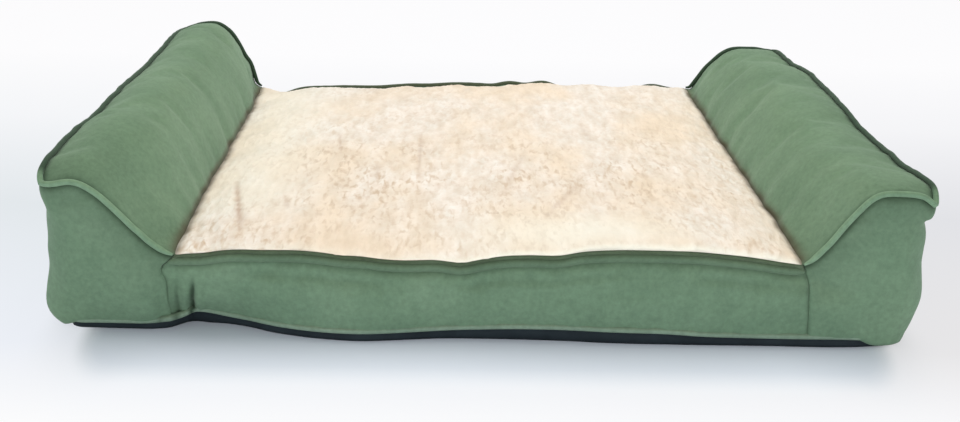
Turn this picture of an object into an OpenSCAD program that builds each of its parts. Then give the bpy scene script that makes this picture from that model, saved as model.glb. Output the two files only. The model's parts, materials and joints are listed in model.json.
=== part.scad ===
// Sofa-shaped dog bed: a foam mattress with a fleece top between two stuffed bolsters,
// all in one piped fabric cover with a dark base and a zip along its rear.
// Millimetres. Origin on the floor at the middle of the bed, front towards -Y, +Z up.

/* [Bed] */
// Width of the bed across the bolsters' outer seams
bed_w = 1016; // [900:1:1200]
// Depth of the bed from its front seams to its rear seams
bed_d = 762; // [640:1:900]
// Height of the mattress's top seam above the floor
mattress_h = 105; // [98:1:125]
// Plan radius of the cover's corners at their top seam
top_corner_r = 24; // [18:1:36]
// Plan radius of the cover's corners at the base
base_corner_r = 32; // [28:1:50]
// How far the walls hang back under the top seam
wall_tuck = 4; // [2:0.5:8]
// How far the bolsters' filling swells their side panels outwards
side_swell = 14; // [4:0.5:18]
// How much further the walls roll in at the base
base_draw = 3; // [2:0.5:10]

/* [Bolsters] */
// Width of a bolster from the fleece's side seam to its outer seam
bolster_w = 145; // [125:1:180]
// Height of a bolster's outer seam above the floor
bolster_h = 194; // [165:1:235]
// How far the left bolster's filling swells above its seams
left_crown = 24; // [6:1:32]
// How far the right bolster's filling swells above its seams
right_crown = 14; // [6:1:32]
// Share of its width over which the left bolster's front end rises to full height
left_ramp_share = 0.8; // [0.55:0.05:1]
// Share of its width over which the right bolster's front end rises to full height
right_ramp_share = 0.6; // [0.55:0.05:1]
// Share of their width over which the bolsters rise to full height behind their front ends
rear_ramp_share = 0.55; // [0.5:0.05:1]

/* [Mattress] */
// How far the middle of the sleeping surface swells above its edges
mattress_crown = 8; // [3:1:16]
// Thickness of the fleece with its pile
pile_t = 9; // [7:0.5:11]
// How far the fleece's edge stands above the top seam
pile_rise = 4; // [2:0.5:6]
// Thickness of the support foam slab
foam_t = 64; // [54:1:70]
// Plan radius of the foam slab's corners
foam_corner_r = 14; // [4:1:30]

/* [Cover] */
// Thickness of the suede fabric
fabric_t = 2.4; // [1.8:0.1:3]
// Thickness of the base fabric
base_t = 2.4; // [1.8:0.1:3]
// Height of the base fabric's turned-up edge
base_rise = 8; // [5:0.5:12]
// Thickness of the fabric partitions between mattress and bolsters
partition_t = 1.2; // [0.8:0.1:1.6]
// Diameter of the piping along the top seams
piping_d = 7; // [5:0.5:8.5]
// Diameter of the piping along the base seam
base_piping_d = 6; // [4:0.5:7]

/* [Zip] */
// Distance from each side seam to the zip tapes' ends
zip_inset = 80; // [60:1:130]
// Width of a zip tape
zip_tape_w = 14; // [11:0.5:16]
// Thickness of a zip tape
zip_tape_t = 0.8; // [0.6:0.1:1]
// Length of tape sewn in behind the fabric at each end of the zip's slot
tape_tuck = 8; // [4:1:14]
// Spacing of the teeth along one row
tooth_pitch = 5; // [4.5:0.1:6]
// Thickness of a tooth across the tapes
tooth_t = 2.8; // [2.4:0.1:3.2]
// Distance of each tape's edge from the zip's centre line
tooth_root = 2.6; // [2.2:0.1:3]
// Reach of a tooth's tip past the centre line
tooth_lap = 1.5; // [1:0.1:1.8]
// Length of the slider's body
slider_l = 16; // [13:0.5:20]
// Width of the slider at its nose
slider_w = 13; // [12:0.5:15]
// Thickness of each of the slider's plates
slider_plate_t = 1.4; // [1.2:0.1:1.8]
// Thickness of the slider's side flanges
slider_flange_t = 1.6; // [1.2:0.1:2]
// Diameter of the pull's hinge pin
pull_pin_d = 1.8; // [1.4:0.1:2.2]
// Wall of the pull's barrel round that pin
pull_barrel_t = 1; // [0.8:0.1:1.3]
// Length of the pull tab from its hinge pin
pull_l = 30; // [22:1:38]
// Width of the pull tab
pull_w = 9; // [7.5:0.5:11]
// Thickness of the pull tab
pull_t = 1.6; // [1.2:0.1:2]

/* [Clearances] */
// Gap between sewn neighbours
seam_gap = 0.3; // [0.2:0.05:0.5]
// Gap between the cover and what fills it
fill_gap = 1.5; // [1.2:0.1:2.5]
// Running gap between the slider and the tapes or teeth
zip_gap = 0.35; // [0.25:0.05:0.5]
// Radial running gap of the pull's barrel on its pin
pin_gap = 0.08; // [0.04:0.01:0.1]

/* [Hidden] */
green = "#6f8f74";
piping_green = "#84a286";
cream = "#f3e4cc";
filling_white = "#f7f5ef";
zip_dark = "#2b2f33";

// Steps of the soft forms' surfaces: round a corner, along a side, across a bolster and a border
corner_steps = 4;
side_steps = 10;
cross_steps = 10;
border_steps = 12;
mattress_rows = 12;
mattress_cols = 14;
piping_sides = 6;
round_sides = 48;
level_shares = [0, 0.1, 0.3, 0.6, 0.9, 1];
filling_level_shares = [0.9, 0.6, 0.3, 0];

// Shape of the stuffed forms
front_crown_share = 0.12;
rear_crown_share = 0.6;
ramp_change_share = 0.22;
rear_start_share = 0.03;
crown_lean_share = 1.8;
tuck_power = 6;
draw_power = 3;
swell_power = 4;
roll_power = 1.8;
crown_power = 3;
column_power = 1.5;
slope_step = 1;
overrun = 1;

// Seams and the room inside the cover
piping_r = piping_d / 2;
base_piping_r = base_piping_d / 2;
seam_in = piping_r + seam_gap;
fill_in = fabric_t + fill_gap;
base_in = wall_tuck + base_draw;
side_seam_x = bed_w / 2 - bolster_w;
front_y = -bed_d / 2;
rear_y = bed_d / 2;
bolster_rise = bolster_h - mattress_h;
border_top_z = mattress_h - seam_in;
border_half = side_seam_x - seam_gap;
base_piping_z = base_rise + seam_gap + base_piping_r;
wall_z = base_piping_z + base_piping_r + seam_gap;
floor_z = base_t + seam_gap;
foam_top_z = floor_z + foam_t;
inner_half = side_seam_x - partition_t / 2 - fill_gap;

// The zip lies in the middle of the rear border's height, just inside the fabric
zip_z = (wall_z + border_top_z) / 2;
zip_y = rear_y - wall_tuck - fabric_t - seam_gap - zip_tape_t / 2;
zip_zone = tooth_root + zip_tape_w + seam_gap;
tape_half = side_seam_x - zip_inset;
slot_half = tape_half - tape_tuck;
slot_rise = slider_w / 2 + zip_gap;
stop_l = tooth_pitch;
tooth_count = floor(2 * (slot_half - slider_l / 2 - zip_gap - stop_l) / tooth_pitch);
chain_half = tooth_count * tooth_pitch / 2;
tooth_w = tooth_pitch / 2 - zip_gap;
tooth_neck_share = 0.6;
tooth_tip_share = 0.7;
upper_shift_share = 0.25;
lower_shift_share = 0.75;
flare_share = 0.3;
nose_end_share = 0.8;
post_share = 0.3;
plate_y = tooth_t / 2 + zip_gap;
slider_half_t = plate_y + slider_plate_t;
tape_slot_t = zip_tape_t + 2 * zip_gap;
channel_half = tooth_root + zip_gap;
tail_half = channel_half + slider_flange_t;
nose_half = slider_w / 2;
stop_t = 2 * plate_y + slider_plate_t;
barrel_bore_r = pull_pin_d / 2 + pin_gap;
barrel_r = barrel_bore_r + pull_barrel_t;
barrel_l = pull_w / 2;
pin_out = slider_half_t + zip_gap + barrel_r;
lug_t = slider_flange_t;
lug_z = barrel_l / 2 + zip_gap;

left_form = [left_crown, left_ramp_share];
right_form = [right_crown, right_ramp_share];

rows = 2 * corner_steps + side_steps;
edge_steps = rows + 2 * cross_steps;
front_corner = cross_steps + corner_steps / 2;
rear_corner = cross_steps + rows - corner_steps / 2;

function mix(a, b, t) = a + (b - a) * t;
function within(t) = max(0, min(1, t));
function ease(t) = let (s = within(t)) s * s * (3 - 2 * s);
function unit(v) = v / norm(v);
function joined(lists) = [for (l = lists) for (v = l) v];

// A wall's inset from the top seam's outline, and the outline's corner radius, by share of height
function wall_in(up) = wall_tuck * (1 - pow(up, tuck_power)) + base_draw * pow(1 - up, draw_power);
function corner_r(up) = mix(base_corner_r, top_corner_r, up);

// Height of the right-hand bolster's top at a plan point, and the way that it faces there.
// A bolster's form is its crown and the share of its width that its front end takes to rise.
function bolster_top(x, y, form) =
    let (
        across = within((x - side_seam_x) / bolster_w),
        along = within((y - front_y) / bed_d),
        rise = within((across - rear_start_share) / (rear_ramp_share - rear_start_share)),
        share = mix(ease(across / form[1]), 1 - pow(1 - rise, roll_power), ease(along / ramp_change_share)),
        end_share = mix(front_crown_share, rear_crown_share, along),
        swell = 1 - (1 - end_share) * pow(abs(2 * along - 1), swell_power)
    )
    mattress_h + bolster_rise * share
        + form[0] * swell * sin(180 * pow(across, crown_lean_share));
function bolster_normal(x, y, form) = unit([
    bolster_top(x - slope_step, y, form) - bolster_top(x + slope_step, y, form),
    bolster_top(x, y - slope_step, form) - bolster_top(x, y + slope_step, form),
    2 * slope_step
]);

// Plan of that bolster: row i runs from front to rear, column j from the side seam outwards
function row_y(i, half_d, r) =
    i <= corner_steps ? r - half_d - r * cos(90 * i / corner_steps)
    : i >= rows - corner_steps ? half_d - r + r * cos(90 * (rows - i) / corner_steps)
    : mix(r - half_d, half_d - r, (i - corner_steps) / side_steps);
function row_x(i, half_w, r) =
    i <= corner_steps ? half_w - r + r * sin(90 * i / corner_steps)
    : i >= rows - corner_steps ? half_w - r + r * sin(90 * (rows - i) / corner_steps)
    : half_w;
function swell_out(up) = side_swell * (1 - pow(abs(2 * up - 1), swell_power));
function plan(i, j, up, inset, inner_x) =
    let (by = wall_in(up) + inset, r = corner_r(up) - inset)
    [
        mix(inner_x, row_x(i, bed_w / 2 - by + swell_out(up), r), pow(j / cross_steps, column_power)),
        row_y(i, bed_d / 2 - by, r)
    ];

// The plan's outer edge in steps k: along the front, down the outer side and back along the rear
function edge_at(k, up, inset, inner_x) =
    k <= cross_steps ? plan(0, k, up, inset, inner_x)
    : k <= cross_steps + rows ? plan(k - cross_steps, cross_steps, up, inset, inner_x)
    : plan(rows, edge_steps - k, up, inset, inner_x);
function edge(k, up, inset, inner_x = side_seam_x) =
    let (low = floor(k), share = k - low)
    share == 0 ? edge_at(k, up, inset, inner_x)
    : mix(edge_at(low, up, inset, inner_x), edge_at(low + 1, up, inset, inner_x), share);
function edge_out(k) =
    let (
        i = within((k - cross_steps) / rows) * rows,
        turn = i <= corner_steps ? 90 * i / corner_steps
            : i >= rows - corner_steps ? 180 - 90 * (rows - i) / corner_steps
            : 90
    )
    [sin(turn), -cos(turn), 0];
// Steps along the edge from k that cover one seam gap
function gap_steps(k) = seam_gap / norm(edge_at(k + 1, 1, 0, side_seam_x) - edge_at(k, 1, 0, side_seam_x));

// Height of the top seam along that edge, and of the wall's own top just under the piping
function seam_z(k, form) = let (p = edge(k, 1, 0)) bolster_top(p.x, p.y, form);
function seam_slope(k, form) =
    let (a = max(0, k - 0.5), b = min(edge_steps, k + 0.5))
    (seam_z(b, form) - seam_z(a, form)) / norm(edge(b, 1, 0) - edge(a, 1, 0));
function wall_top(k, form) = seam_z(k, form) - seam_in * norm([1, seam_slope(k, form)]);

// Triangles of a grid of points, the point numbers round its rim, and a band between two rims
function grid_faces(down, across, first, flip) = [
    for (i = [0:down - 2]) for (j = [0:across - 2])
        let (a = first + i * across + j, b = a + 1, c = a + across, d = c + 1)
        each flip ? [[a, c, b], [b, c, d]] : [[a, b, c], [b, d, c]]
];
function grid_rim(down, across, first) = concat(
    [for (j = [0:across - 1]) first + j],
    [for (i = [1:down - 1]) first + i * across + across - 1],
    [for (j = [across - 2:-1:0]) first + (down - 1) * across + j],
    [for (i = [down - 2:-1:1]) first + i * across]
);
function band(a, b) = [
    for (k = [0:len(a) - 1])
        let (n = (k + 1) % len(a))
        each [[a[k], b[k], a[n]], [a[n], b[k], b[n]]]
];

// A thick sheet between two grids of points, the first on the side that columns cross rows face
module sheet(face, back) {
    down = len(face);
    across = len(face[0]);
    count = down * across;
    polyhedron(
        points = concat(joined(face), joined(back)),
        faces = concat(
            grid_faces(down, across, 0, true),
            grid_faces(down, across, count, false),
            band(grid_rim(down, across, count), grid_rim(down, across, 0))
        )
    );
}

// A closed pad: a top grid, loops of points down its sides, and an underside round a middle point
module pad(top, loops) {
    down = len(top);
    across = len(top[0]);
    size = len(loops[0]);
    count = down * across;
    foot = loops[len(loops) - 1];
    middle = [
        (max([for (p = foot) p.x]) + min([for (p = foot) p.x])) / 2,
        (max([for (p = foot) p.y]) + min([for (p = foot) p.y])) / 2,
        foot[0].z
    ];
    rims = concat(
        [grid_rim(down, across, 0)],
        [for (l = [0:len(loops) - 1]) [for (k = [0:size - 1]) count + l * size + k]]
    );
    last_rim = rims[len(loops)];
    polyhedron(
        points = concat(joined(top), joined(loops), [middle]),
        faces = concat(
            grid_faces(down, across, 0, true),
            joined([for (l = [1:len(loops)]) band(rims[l], rims[l - 1])]),
            [for (k = [0:size - 1]) [last_rim[k], last_rim[(k + 1) % size], count + len(loops) * size]]
        )
    );
}

// A round cord along points, each with the direction that faces out of its seam
module cord(path, outs, r, closed = false) {
    last = len(path) - 1;
    rings = [
        for (k = [0:last])
            let (
                before = path[closed ? (k + last) % (last + 1) : max(0, k - 1)],
                after = path[closed ? (k + 1) % (last + 1) : min(last, k + 1)],
                run = after - before,
                ahead = closed || (k > 0 && k < last) ? run : [run.x, run.y, 0],
                up = unit(cross(outs[k], ahead))
            )
            [for (s = [0:piping_sides - 1])
                let (turn = 360 * s / piping_sides)
                path[k] + r * (cos(turn) * outs[k] + sin(turn) * up)]
    ];
    numbers = [for (k = [0:last]) [for (s = [0:piping_sides - 1]) k * piping_sides + s]];
    polyhedron(
        points = joined(rings),
        faces = concat(
            joined([for (k = [1:last]) band(numbers[k], numbers[k - 1])]),
            closed ? band(numbers[0], numbers[last])
            : [numbers[last], [for (s = [piping_sides - 1:-1:0]) numbers[0][s]]]
        )
    );
}

module rounded_rect(half_w, half_d, r) {
    square([2 * (half_w - r), 2 * half_d], center = true);
    square([2 * half_w, 2 * (half_d - r)], center = true);
    for (x = [-1, 1]) for (y = [-1, 1])
        translate([x * (half_w - r), y * (half_d - r)]) circle(r, $fn = round_sides);
}

// The pieces of the right-hand bolster; the left one is its mirror image with a form of its own

module bolster_cover(form) color(green) {
    top = [for (i = [0:rows]) [for (j = [0:cross_steps])
        let (p = plan(i, j, 1, seam_in, side_seam_x + seam_gap))
        [p.x, p.y, bolster_top(p.x, p.y, form)]]];
    sheet(top, [for (row = top) [for (p = row) p - fabric_t * bolster_normal(p.x, p.y, form)]]);
}

function wall_grid(stations, inset, form) = [
    for (k = stations)
        let (top = wall_top(k, form))
        [for (up = level_shares)
            let (p = edge(k, up, inset))
            [p.x, p.y, mix(wall_z, top, up)]]
];
module wall_panel(from_k, to_k, form) color(green) {
    stations = concat([from_k], [for (k = [floor(from_k) + 1:ceil(to_k) - 1]) k], [to_k]);
    sheet(wall_grid(stations, fabric_t, form), wall_grid(stations, 0, form));
}
module front_end_panel(form)
    wall_panel(gap_steps(0), front_corner - gap_steps(front_corner) / 2, form);
module side_panel(form)
    wall_panel(front_corner + gap_steps(front_corner) / 2, rear_corner - gap_steps(rear_corner) / 2, form);
module rear_end_panel(form)
    wall_panel(rear_corner + gap_steps(rear_corner) / 2, edge_steps - gap_steps(0), form);

module bolster_piping(form) color(piping_green) {
    stations = concat([gap_steps(0)], [for (k = [1:edge_steps - 1]) k], [edge_steps - gap_steps(0)]);
    cord(
        [for (k = stations) let (p = edge(k, 1, 0)) [p.x, p.y, seam_z(k, form)]],
        [for (k = stations) edge_out(k)],
        piping_r
    );
}

function filling_loop(up, form, inner_x) = [
    for (k = [0:edge_steps + rows - 1])
        let (
            side = k > edge_steps,
            p = side ? plan(edge_steps + rows - k, 0, up, fill_in, inner_x) : edge(k, up, fill_in, inner_x),
            top = side ? border_top_z : wall_top(k, form)
        )
        [p.x, p.y, mix(wall_z, top - fill_in, up)]
];
module bolster_filling(form) color(filling_white) {
    inner_x = side_seam_x + partition_t / 2 + fill_gap;
    top = [for (i = [0:rows]) [for (j = [0:cross_steps])
        let (
            p = plan(i, j, 1, seam_in + fill_in, inner_x + fabric_t),
            q = [p.x, p.y, bolster_top(p.x, p.y, form)]
        )
        q - fill_in * bolster_normal(p.x, p.y, form)]];
    sides = [for (up = filling_level_shares) filling_loop(up, form, inner_x)];
    foot = [for (p = filling_loop(0, form, inner_x)) [p.x, p.y, floor_z]];
    pad(top, concat(sides, [foot]));
}

module partition() color(green) {
    half_d = bed_d / 2 - base_in - fill_in;
    translate([side_seam_x - partition_t / 2, -half_d, floor_z])
        cube([partition_t, 2 * half_d, border_top_z - fabric_t - floor_z]);
}

module left() mirror([1, 0, 0]) children();

// Base

module base_outline(inset)
    rounded_rect(bed_w / 2 - base_in - inset, bed_d / 2 - base_in - inset, base_corner_r - inset);
module base_panel() color("#20262c") difference() {
    linear_extrude(base_rise) base_outline(0);
    translate([0, 0, base_t]) linear_extrude(base_rise) base_outline(base_t);
}

module base_piping() color(piping_green) {
    centre = [bed_w / 2 - base_in - base_corner_r, bed_d / 2 - base_in - base_corner_r];
    signs = [[1, 1], [-1, 1], [-1, -1], [1, -1]];
    turns = [for (q = [0:3]) for (s = [0:corner_steps]) [q, 90 * (q + s / corner_steps)]];
    outs = [for (t = turns) [cos(t[1]), sin(t[1]), 0]];
    path = [for (k = [0:len(turns) - 1])
        let (sign = signs[turns[k][0]])
        [sign.x * centre.x, sign.y * centre.y, base_piping_z] + base_corner_r * outs[k]];
    cord(path, outs, base_piping_r, closed = true);
}

// Mattress

fleece_front_y = front_y + seam_in + seam_gap;
fleece_rear_y = rear_y - seam_in - seam_gap;
function fleece_z(x, y) = mattress_h + pile_rise + mattress_crown
    * (1 - pow(abs(x) / border_half, crown_power)) * (1 - pow(2 * abs(y) / bed_d, crown_power));
// A grid over the mattress, its points at a depth under the fleece's face
function mattress_grid(half_x, from_y, to_y, depth) = [
    for (i = [0:mattress_rows]) [for (j = [0:mattress_cols])
        let (
            x = mix(-half_x, half_x, j / mattress_cols),
            y = mix(from_y, to_y, i / mattress_rows)
        )
        [x, y, fleece_z(x, y) - depth]]
];

module sleeping_surface() color(cream) sheet(
    mattress_grid(border_half, fleece_front_y, fleece_rear_y, 0),
    mattress_grid(border_half, fleece_front_y, fleece_rear_y, pile_t)
);

module fibre_topper() color(filling_white) {
    half_y = zip_y - slider_half_t - fill_gap;
    top = mattress_grid(inner_half, -half_y, half_y, pile_t + seam_gap);
    rim = concat(
        top[0],
        [for (i = [1:mattress_rows]) top[i][mattress_cols]],
        [for (j = [mattress_cols - 1:-1:0]) top[mattress_rows][j]],
        [for (i = [mattress_rows - 1:-1:1]) top[i][0]]
    );
    pad(top, [[for (p = rim) [p.x, p.y, foam_top_z + seam_gap]]]);
}

module support_foam() color("#e9dfa8")
    translate([0, 0, floor_z]) linear_extrude(foam_t)
        rounded_rect(inner_half, bed_d / 2 - base_in - fill_in, foam_corner_r);

module front_border() {
    function strip(inset) = [
        for (s = [0:border_steps]) [for (up = level_shares)
            [mix(-border_half, border_half, s / border_steps), front_y + wall_in(up) + inset,
                mix(wall_z, border_top_z, up)]]
    ];
    color(green) sheet(strip(fabric_t), strip(0));
}

module piping_run(y) color(piping_green)
    translate([-border_half, y, mattress_h]) rotate([0, 90, 0])
        cylinder(2 * border_half, r = piping_r, $fn = round_sides);

// The rear border is in two strips, which part along the zip's slot and lie flat over its tapes
function rear_in(x, z) =
    let (
        above = within((z - zip_z - zip_zone) / (border_top_z - zip_z - zip_zone)),
        below = within((zip_z - zip_zone - z) / (zip_z - zip_zone - wall_z)),
        at_zip = wall_tuck * (1 - above * above) + base_draw * below * below,
        at_side = wall_in((z - wall_z) / (border_top_z - wall_z))
    )
    mix(at_zip, at_side, ease((abs(x) - tape_half) / (border_half - tape_half)));
function slot_at(x) = abs(x) <= slot_half ? slot_rise : seam_gap / 2;
rear_stations = concat(
    [for (s = [0:3]) mix(-border_half, -tape_half, s / 4)],
    [-tape_half],
    [for (s = [0:border_steps / 2]) mix(-slot_half, slot_half, 2 * s / border_steps)],
    [tape_half],
    [for (s = [1:4]) mix(tape_half, border_half, s / 4)]
);
module rear_strip(upper) {
    function strip(inset) = [
        for (x = rear_stations)
            let (
                from_z = upper ? zip_z + slot_at(x) : wall_z,
                to_z = upper ? border_top_z : zip_z - slot_at(x)
            )
            [for (up = level_shares)
                let (z = mix(from_z, to_z, up))
                [x, rear_y - rear_in(x, z) - inset, z]]
    ];
    color(green) sheet(strip(0), strip(fabric_t));
}

// Zip

module at_zip() translate([0, zip_y, zip_z]) children();

module zip_tape() color(zip_dark) translate([-tape_half, -zip_tape_t / 2, tooth_root])
    cube([2 * tape_half, zip_tape_t, zip_tape_w]);

// A row of teeth on the upper tape; the lower tape's is its mirror image, half a pitch along
module teeth(shift) color(zip_dark) for (k = [0:tooth_count - 1])
    translate([tooth_pitch * (k + shift) - chain_half, tooth_t / 2, 0])
        rotate([90, 0, 0]) linear_extrude(tooth_t) polygon([
            [-tooth_w * tooth_neck_share / 2, tooth_root],
            [-tooth_w / 2, 0],
            [-tooth_w * tooth_tip_share / 2, -tooth_lap],
            [tooth_w * tooth_tip_share / 2, -tooth_lap],
            [tooth_w / 2, 0],
            [tooth_w * tooth_neck_share / 2, tooth_root]
        ]);

module zip_top_stops() color(zip_dark) at_zip() for (side = [0, 1]) mirror([0, 0, side])
    translate([chain_half + slider_l / 2 + zip_gap, -stop_t / 2, tooth_root / 2])
        cube([stop_l, stop_t, tooth_root / 2]);

module zip_bottom_stop() color(zip_dark) at_zip()
    translate([-chain_half - zip_gap - stop_l, -stop_t / 2, -tooth_root])
        cube([stop_l, stop_t, 2 * tooth_root]);

// The slider's plan, seen from behind the bed: a narrow tail over the closed teeth, a wide nose
module slider_plan(tail, nose, past = 0) polygon([
    [-slider_l / 2 - past, -tail], [0, -tail],
    [slider_l * flare_share, -nose], [slider_l / 2 + past, -nose * nose_end_share],
    [slider_l / 2 + past, nose * nose_end_share], [slider_l * flare_share, nose],
    [0, tail], [-slider_l / 2 - past, tail]
]);
module plate(half_t) rotate([90, 0, 0]) linear_extrude(2 * half_t, center = true) children();

module pull_lug() {
    stand = pin_out - slider_half_t + slider_plate_t / 2;
    linear_extrude(lug_t) {
        translate([0, pin_out]) circle(barrel_r, $fn = round_sides);
        translate([-barrel_r, pin_out - stand]) square([2 * barrel_r, stand]);
    }
}

module zip_slider() color("#b9bcbe") at_zip() translate([chain_half, 0, 0]) {
    difference() {
        plate(slider_half_t) slider_plan(tail_half, nose_half);
        plate(plate_y) slider_plan(channel_half, nose_half - slider_flange_t, overrun);
        plate(tape_slot_t / 2) square([slider_l + 2 * overrun, slider_w + 2 * overrun], center = true);
    }
    translate([slider_l * post_share, 0, 0])
        cube([slider_l * post_share, 2 * plate_y + slider_plate_t, tooth_root], center = true);
    for (side = [0, 1]) mirror([0, 0, side]) translate([0, 0, lug_z]) pull_lug();
    translate([0, pin_out, 0])
        cylinder(2 * lug_z + lug_t, r = pull_pin_d / 2, center = true, $fn = round_sides);
}

module zip_pull() color("#b9bcbe") at_zip() translate([chain_half, pin_out, 0]) difference() {
    union() {
        cylinder(barrel_l, r = barrel_r, center = true, $fn = round_sides);
        plate(pull_t / 2) {
            translate([-pull_l + pull_w / 2, -pull_w / 2])
                square([pull_l - barrel_r - pull_w / 2 - zip_gap, pull_w]);
            translate([-pull_l + pull_w / 2, 0]) circle(pull_w / 2, $fn = round_sides);
            translate([-barrel_r - 2 * zip_gap, -barrel_l / 2]) square([barrel_r + 2 * zip_gap, barrel_l]);
        }
    }
    cylinder(barrel_l + 2 * overrun, r = barrel_bore_r, center = true, $fn = round_sides);
}

base_panel();
base_piping();
sleeping_surface();
fibre_topper();
support_foam();
front_border();
piping_run(front_y);  // front_piping
rear_strip(true);  // rear_border_upper
rear_strip(false);  // rear_border_lower
piping_run(rear_y);  // rear_piping
left() bolster_cover(left_form);  // left_bolster_cover
left() side_panel(left_form);  // left_side_panel
left() front_end_panel(left_form);  // left_front_end_panel
left() rear_end_panel(left_form);  // left_rear_end_panel
left() bolster_piping(left_form);  // left_bolster_piping
left() bolster_filling(left_form);  // left_bolster_filling
left() partition();  // left_partition
bolster_cover(right_form);  // right_bolster_cover
side_panel(right_form);  // right_side_panel
front_end_panel(right_form);  // right_front_end_panel
rear_end_panel(right_form);  // right_rear_end_panel
bolster_piping(right_form);  // right_bolster_piping
bolster_filling(right_form);  // right_bolster_filling
partition();  // right_partition
at_zip() zip_tape();  // zip_upper_tape
at_zip() mirror([0, 0, 1]) zip_tape();  // zip_lower_tape
at_zip() teeth(upper_shift_share);  // zip_upper_teeth
at_zip() mirror([0, 0, 1]) teeth(lower_shift_share);  // zip_lower_teeth
zip_top_stops();
zip_bottom_stop();
zip_slider();
zip_pull();
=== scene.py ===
import math

import bmesh
import bpy
import numpy as np
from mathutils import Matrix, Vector, kdtree, noise
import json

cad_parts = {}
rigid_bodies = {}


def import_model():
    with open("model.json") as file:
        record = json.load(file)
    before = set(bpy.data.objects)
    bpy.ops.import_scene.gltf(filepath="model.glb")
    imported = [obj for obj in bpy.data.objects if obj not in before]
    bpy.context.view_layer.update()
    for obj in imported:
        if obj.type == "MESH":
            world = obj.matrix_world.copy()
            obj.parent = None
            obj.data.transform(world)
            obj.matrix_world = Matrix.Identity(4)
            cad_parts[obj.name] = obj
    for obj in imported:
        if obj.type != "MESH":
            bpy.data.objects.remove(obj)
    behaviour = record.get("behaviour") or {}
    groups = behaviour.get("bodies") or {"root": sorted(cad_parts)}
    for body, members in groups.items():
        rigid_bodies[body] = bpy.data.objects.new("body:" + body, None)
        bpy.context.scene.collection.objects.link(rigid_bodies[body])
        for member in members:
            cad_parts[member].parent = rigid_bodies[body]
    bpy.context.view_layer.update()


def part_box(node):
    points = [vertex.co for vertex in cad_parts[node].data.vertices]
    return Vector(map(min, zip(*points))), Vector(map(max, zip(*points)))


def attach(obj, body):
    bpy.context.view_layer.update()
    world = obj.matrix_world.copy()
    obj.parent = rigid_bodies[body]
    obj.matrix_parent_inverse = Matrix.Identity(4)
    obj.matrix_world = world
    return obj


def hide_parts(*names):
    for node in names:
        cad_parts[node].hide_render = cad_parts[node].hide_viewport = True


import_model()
mm = 0.001
print("frame loaded")


def pick(obj):
    # makes obj the only selected and the active object
    bpy.ops.object.select_all(action="DESELECT")
    obj.select_set(True)
    bpy.context.view_layer.objects.active = obj


def editAll(obj):
    # goes into edit mode with all of obj selected
    pick(obj)
    bpy.ops.object.mode_set(mode="EDIT")
    bpy.ops.mesh.select_all(action="SELECT")


def leaveEdit():
    bpy.ops.object.mode_set(mode="OBJECT")


def applyModifier(obj, kind, **settings):
    pick(obj)
    bpy.ops.object.modifier_add(type=kind)
    modifier = obj.modifiers[-1]
    for key, value in settings.items():
        setattr(modifier, key, value)
    bpy.ops.object.modifier_apply(modifier=modifier.name)


def readVectors(rows, key):
    co = np.zeros(len(rows) * 3, np.float32)
    rows.foreach_get(key, co)
    return co.reshape(-1, 3).astype(float)


def readPoints(obj):
    return readVectors(obj.data.vertices, "co")


def readNormals(obj):
    return readVectors(obj.data.vertex_normals, "vector")


def writePoints(obj, co):
    obj.data.vertices.foreach_set("co", np.ascontiguousarray(co, np.float32).ravel())
    obj.data.update()


def writeAttribute(obj, name, values):
    # values is one number for each point, or one for all of them, kept from 0 to 1
    attribute = obj.data.attributes.get(name) or obj.data.attributes.new(name, "FLOAT", "POINT")
    values = np.broadcast_to(unit(values), len(obj.data.vertices))
    attribute.data.foreach_set("value", np.ascontiguousarray(values, np.float32))


def unit(t):
    return np.clip(t, 0, 1)


def mix(a, b, t):
    return a + (b - a) * t


def ease(t):
    s = unit(t)
    return s * s * (3 - 2 * s)


def bell(x, width):
    # 1 where x is 0, and next to nothing from twice that width on
    return np.exp(-(x / width) ** 2)


def wave(up):
    # half a wave, from 0 through 1 and back to 0
    return np.sin(math.pi * up)


def atEnds(share):
    return (share < 0.001) | (share > 0.999)


def throughPoints(points, at):
    # a smooth line through given points, level beyond its two ends
    xs, ys = np.array(points, float).T * mm
    at = np.clip(at, xs[0], xs[-1])
    slopes = np.gradient(ys, xs)
    i = np.clip(np.searchsorted(xs, at) - 1, 0, len(xs) - 2)
    h = xs[i + 1] - xs[i]
    t = (at - xs[i]) / h
    return ((1 + 2 * t) * (1 - t) ** 2 * ys[i] + t * t * (3 - 2 * t) * ys[i + 1]
            + h * (t * (1 - t) ** 2 * slopes[i] - t * t * (1 - t) * slopes[i + 1]))


def noiseAt(co, size, seed=0.0, octaves=2):
    # soft noise from -1 to 1 at each point, with lumps of about that size
    shift = Vector((seed * 7.31, seed * 3.17, seed * 5.73))
    size = np.broadcast_to(np.array(size, float), 3)
    return np.array([noise.fractal(Vector(p) + shift, 0.9, 2.0, octaves) for p in co / size])


def faceOutwards(obj):
    editAll(obj)
    bpy.ops.mesh.normals_make_consistent(inside=False)
    leaveEdit()


def inOrder(obj):
    # extrude leaves edges and faces in a new order each run, and the cloth feels it, so their corners set it
    mesh = bmesh.new()
    mesh.from_mesh(obj.data)
    for rows in (mesh.edges, mesh.faces):
        rows.sort(key=lambda row: np.polyval(sorted(v.index for v in row.verts)[:3], len(mesh.verts)))
    mesh.to_mesh(obj.data)
    mesh.free()
    for edge in obj.data.edges:
        edge.vertices = sorted(edge.vertices)


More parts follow.
